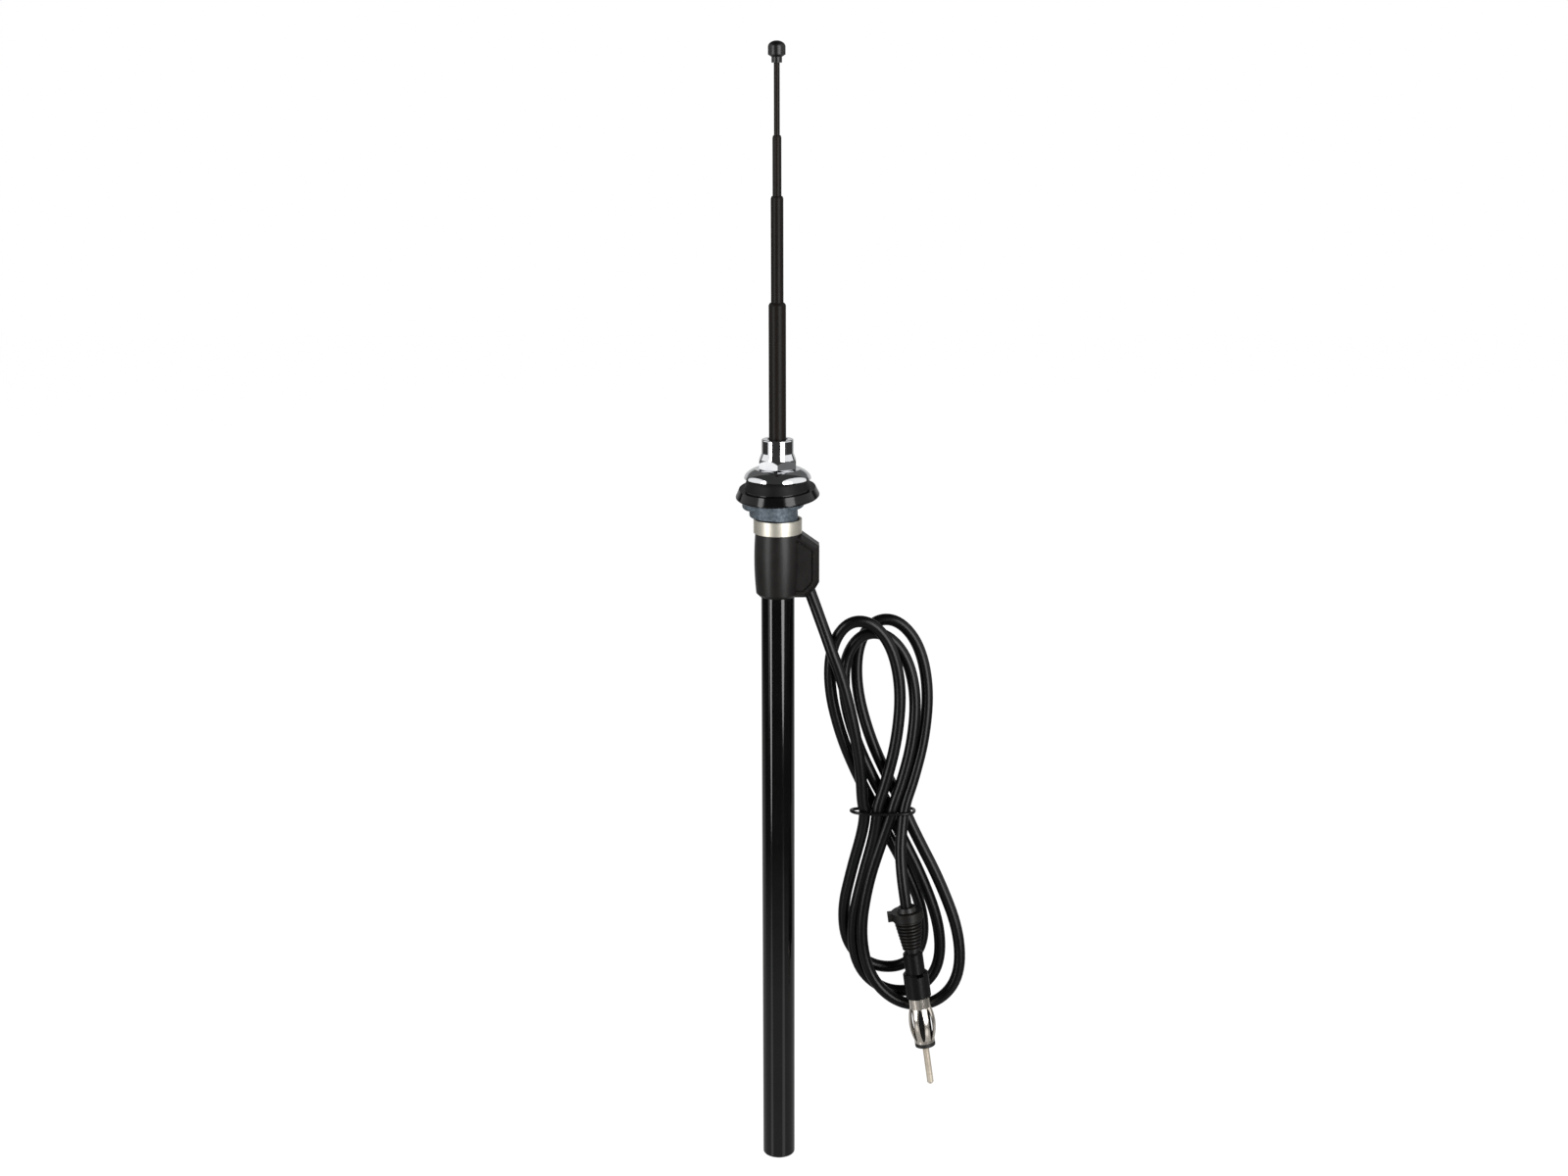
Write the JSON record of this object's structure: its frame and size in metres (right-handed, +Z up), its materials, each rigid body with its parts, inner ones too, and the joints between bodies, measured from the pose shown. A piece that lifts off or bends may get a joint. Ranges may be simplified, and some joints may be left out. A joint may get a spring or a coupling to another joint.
{
  "type": "car mast aerial",
  "caption": "Telescopic car mast aerial with a tilting panel clamp, long housing tube below, and a tied lead ending in a slotted aerial plug.",
  "frame": {"origin": "middle of the panel hole on the panel's outer skin, where the pad's sealing lip seats", "axes": "+Z up along the mast, +X towards the lead, -Y towards the front"},
  "size_m": [0.1006, 0.036, 0.483],
  "materials": {
    "mast_black": "satin",
    "chrome": "polished",
    "pad_black": "gloss",
    "zinc": "as cast",
    "plated_steel": "bright plated",
    "tube_black": "gloss",
    "rubber": "satin",
    "cable_pvc": "satin",
    "nickel": "bright",
    "brass": "bare",
    "insulator": "matte"
  },
  "bodies": {
    "clamp": {"base_pad": "pad_black", "claw": "zinc"},
    "head": {"dome": "chrome", "clamp_nut": "chrome", "guide_bush": "insulator", "stem": "plated_steel", "seat_cup": "plated_steel", "feed_insulator": "insulator", "contact_spring": "brass", "housing_tube": "tube_black", "tube_liner": "insulator", "end_plug": "insulator", "cable_sleeve": "rubber", "cable_lead": "cable_pvc", "cable_hank": "cable_pvc", "cable_tail": "cable_pvc", "hank_tie": "cable_pvc", "cable_grommet": "rubber", "plug_boot": "cable_pvc", "plug_shell": "nickel", "plug_insulator": "insulator", "plug_pin": "nickel"},
    "section_4": {"mast_tube_4": "mast_black", "mast_foot": "brass"},
    "section_3": {"mast_tube_3": "mast_black", "slider_3": "brass"},
    "section_2": {"mast_tube_2": "mast_black", "slider_2": "brass"},
    "tip": {"tip_rod": "mast_black", "tip_button": "mast_black", "tip_slider": "brass"}
  },
  "joints": [
    {"name": "mast_lean", "type": "hinge", "parent": "clamp", "child": "head", "pos_m": [0, 0, 0], "axis": [0, 1, 0], "range_deg": [-8, 3.6]},
    {"name": "mast_slide_4", "type": "slide", "parent": "head", "child": "section_4", "axis": [0, 0, 1], "range_m": [-0.0667, 0.1647]},
    {"name": "mast_slide_3", "type": "slide", "parent": "section_4", "child": "section_3", "axis": [0, 0, 1], "range_m": [-0.0416, 0.2299]},
    {"name": "mast_slide_2", "type": "slide", "parent": "section_3", "child": "section_2", "axis": [0, 0, 1], "range_m": [-0.0228, 0.24075]},
    {"name": "tip_slide", "type": "slide", "parent": "section_2", "child": "tip", "axis": [0, 0, 1], "range_m": [-0.0277, 0.2216]}
  ]
}
